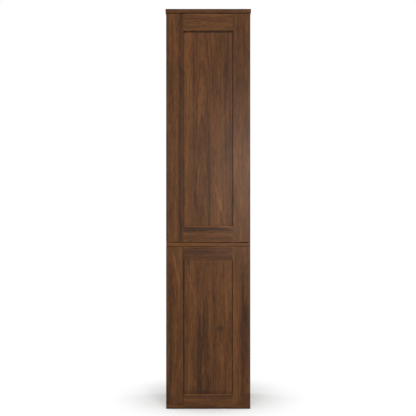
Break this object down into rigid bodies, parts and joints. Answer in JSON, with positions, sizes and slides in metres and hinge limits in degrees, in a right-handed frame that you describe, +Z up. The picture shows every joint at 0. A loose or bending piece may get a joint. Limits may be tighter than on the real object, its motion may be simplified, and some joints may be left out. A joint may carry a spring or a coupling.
{
  "type": "tall storage cabinet",
  "caption": "Tall narrow walnut storage cabinet with framed panel doors one above the other, concealed hinges, press-to-open latches and loose inner shelves.",
  "frame": {"origin": "on the floor under the middle of the cabinet", "axes": "+Z up, doors face -Y, +X to the right seen from the front"},
  "size_m": [0.391, 0.39, 1.829],
  "materials": {
    "door_frame": "satin walnut veneer",
    "door_panel": "satin walnut veneer",
    "carcass_board": "satin walnut veneer",
    "shelf_board": "satin walnut veneer",
    "back_board": "smooth hardboard",
    "dowel": "plain beech",
    "plated_steel": "nickel plated",
    "zinc": "die-cast zinc",
    "latch_plastic": "moulded",
    "plunger_plastic": "moulded",
    "glide": "moulded"
  },
  "bodies": {
    "carcass": {"arm_screws": "plated_steel", "back_lower": "back_board", "back_screws": "plated_steel", "back_upper": "back_board", "bottom_board": "carcass_board", "cam_bolts": "plated_steel", "cam_locks": "zinc", "dowels": "dowel", "floor_glides": "glide", "hinge_arm_1": "plated_steel", "hinge_arm_2": "plated_steel", "hinge_arm_3": "plated_steel", "hinge_arm_4": "plated_steel", "hinge_arm_5": "plated_steel", "hinge_plate_1": "plated_steel", "hinge_plate_2": "plated_steel", "hinge_plate_3": "plated_steel", "hinge_plate_4": "plated_steel", "hinge_plate_5": "plated_steel", "lower_latch_housing": "latch_plastic", "lower_latch_spring": "plated_steel", "lower_shelf": "shelf_board", "lower_side_left": "carcass_board", "lower_side_right": "carcass_board", "mid_board": "carcass_board", "shelf_pins": "plated_steel", "top_board": "carcass_board", "upper_latch_housing": "latch_plastic", "upper_latch_spring": "plated_steel", "upper_shelf_1": "shelf_board", "upper_shelf_2": "shelf_board", "upper_shelf_3": "shelf_board", "upper_side_left": "carcass_board", "upper_side_right": "carcass_board", "wall_bracket": "plated_steel", "wood_screws": "plated_steel"},
    "upper_door": {"hinge_cup_1": "plated_steel", "hinge_cup_2": "plated_steel", "hinge_cup_3": "plated_steel", "upper_cup_screws": "plated_steel", "upper_hinge_pins": "plated_steel", "upper_panel": "door_panel", "upper_rail_bottom": "door_frame", "upper_rail_top": "door_frame", "upper_stile_left": "door_frame", "upper_stile_right": "door_frame", "upper_strike_plate": "plated_steel"},
    "lower_door": {"hinge_cup_4": "plated_steel", "hinge_cup_5": "plated_steel", "lower_cup_screws": "plated_steel", "lower_hinge_pins": "plated_steel", "lower_panel": "door_panel", "lower_rail_bottom": "door_frame", "lower_rail_top": "door_frame", "lower_stile_left": "door_frame", "lower_stile_right": "door_frame", "lower_strike_plate": "plated_steel"},
    "upper_plunger": {"upper_latch_plunger": "plunger_plastic"},
    "lower_plunger": {"lower_latch_plunger": "plunger_plastic"}
  },
  "joints": [
    {"name": "upper_door_hinge", "type": "hinge", "parent": "carcass", "child": "upper_door", "pos_m": [-0.18496, -0.183, 1.286], "axis": [0, 0, -1], "range_deg": [0, 105]},
    {"name": "upper_latch_press", "type": "slide", "parent": "carcass", "child": "upper_plunger", "axis": [0, 1, 0], "range_m": [0, 0.003], "stiffness_N_per_m": 500, "springref_m": -0.004, "deforming": ["upper_latch_spring"]},
    {"name": "lower_door_hinge", "type": "hinge", "parent": "carcass", "child": "lower_door", "pos_m": [-0.18496, -0.183, 0.381], "axis": [0, 0, -1], "range_deg": [0, 105]},
    {"name": "lower_latch_press", "type": "slide", "parent": "carcass", "child": "lower_plunger", "axis": [0, 1, 0], "range_m": [0, 0.003], "stiffness_N_per_m": 500, "springref_m": -0.004, "deforming": ["lower_latch_spring"]}
  ]
}
